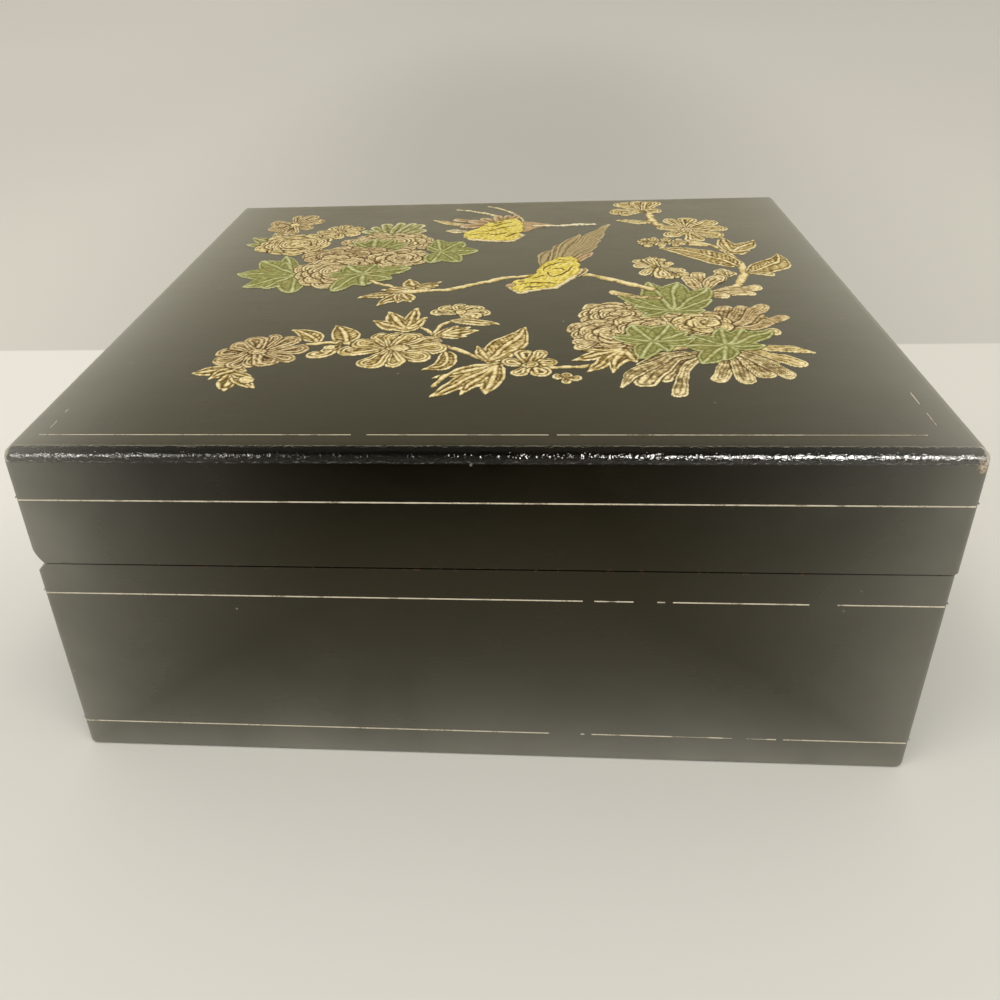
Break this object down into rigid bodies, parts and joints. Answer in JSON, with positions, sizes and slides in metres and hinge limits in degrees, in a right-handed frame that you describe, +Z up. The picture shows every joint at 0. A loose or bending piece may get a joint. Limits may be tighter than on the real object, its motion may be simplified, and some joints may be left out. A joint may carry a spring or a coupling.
{
  "type": "drawer box",
  "caption": "Square black-lacquered wooden tabletop box with a hinged lid, and a drawer that a linkage slides out as the lid is lifted.",
  "frame": {"origin": "middle of the underside, where the box stands", "axes": "+Z up; -X is the hinge side; the drawer comes out towards +X; -Y is the long side that the picture shows"},
  "size_m": [0.1905, 0.19, 0.081],
  "materials": {
    "lacquer": "semi-gloss black lacquer",
    "plain_wood": "plain sanded wood",
    "velvet": "short-pile velvet on card",
    "brass": "polished, slightly dulled",
    "mirror": "silvered glass"
  },
  "bodies": {
    "case": {"case_left_wall": "lacquer", "case_right_wall": "lacquer", "case_back_wall": "lacquer", "case_front_bottom_rail": "lacquer", "case_front_top_rail": "lacquer", "case_bottom_board": "plain_wood", "compartment_floor": "plain_wood", "linkage_partition": "velvet", "compartment_lining": "velvet", "drawer_runner_left": "plain_wood", "drawer_runner_right": "plain_wood", "drawer_guide_left": "plain_wood", "drawer_guide_right": "plain_wood", "hinge_left_case_leaf": "brass", "hinge_right_case_leaf": "brass", "hinge_left_pin": "brass", "hinge_right_pin": "brass", "hinge_case_screws": "brass", "crank_stud": "brass", "crank_washer": "brass"},
    "lid": {"lid_left_rail": "lacquer", "lid_front_rail": "lacquer", "lid_right_rail": "lacquer", "lid_back_rail": "lacquer", "lid_top_panel": "lacquer", "lid_lining": "velvet", "lid_mirror": "mirror", "hinge_left_lid_leaf": "brass", "hinge_right_lid_leaf": "brass", "hinge_lid_screws": "brass", "lid_strap": "brass", "lid_strap_screws": "brass", "strap_rivet": "brass"},
    "link": {"connecting_link": "brass"},
    "crank": {"bell_crank": "brass", "push_pin": "brass", "crank_rivet": "brass"},
    "drawer": {"drawer_front": "lacquer", "drawer_left_side": "plain_wood", "drawer_right_side": "plain_wood", "drawer_back": "plain_wood", "drawer_bottom": "plain_wood", "drawer_lining": "velvet", "slot_plate": "brass", "slot_plate_screws": "brass"}
  },
  "joints": [
    {"name": "lid_hinge", "type": "hinge", "parent": "case", "child": "lid", "pos_m": [-0.0925, 0, 0.0531], "axis": [0, -1, 0], "range_deg": [0, 100]},
    {"name": "strap_pin_turn", "type": "hinge", "parent": "lid", "child": "link", "pos_m": [-0.07664, 0, 0.05765], "axis": [0, -1, 0], "range_deg": [-101, 0]},
    {"name": "crank_turn", "type": "hinge", "parent": "case", "child": "crank", "pos_m": [-0.04997, 0, 0.04845], "axis": [0, -1, 0], "range_deg": [0, 101]},
    {"name": "drawer_slide", "type": "slide", "parent": "case", "child": "drawer", "axis": [1, 0, 0], "range_m": [0, 0.0507]}
  ],
  "couplings": [
    {"joint": "strap_pin_turn", "follows": "lid_hinge", "ratio": -1},
    {"joint": "crank_turn", "follows": "lid_hinge", "ratio": 1},
    {"joint": "drawer_slide", "follows": "lid_hinge", "m_per_rad": 0.028968}
  ]
}
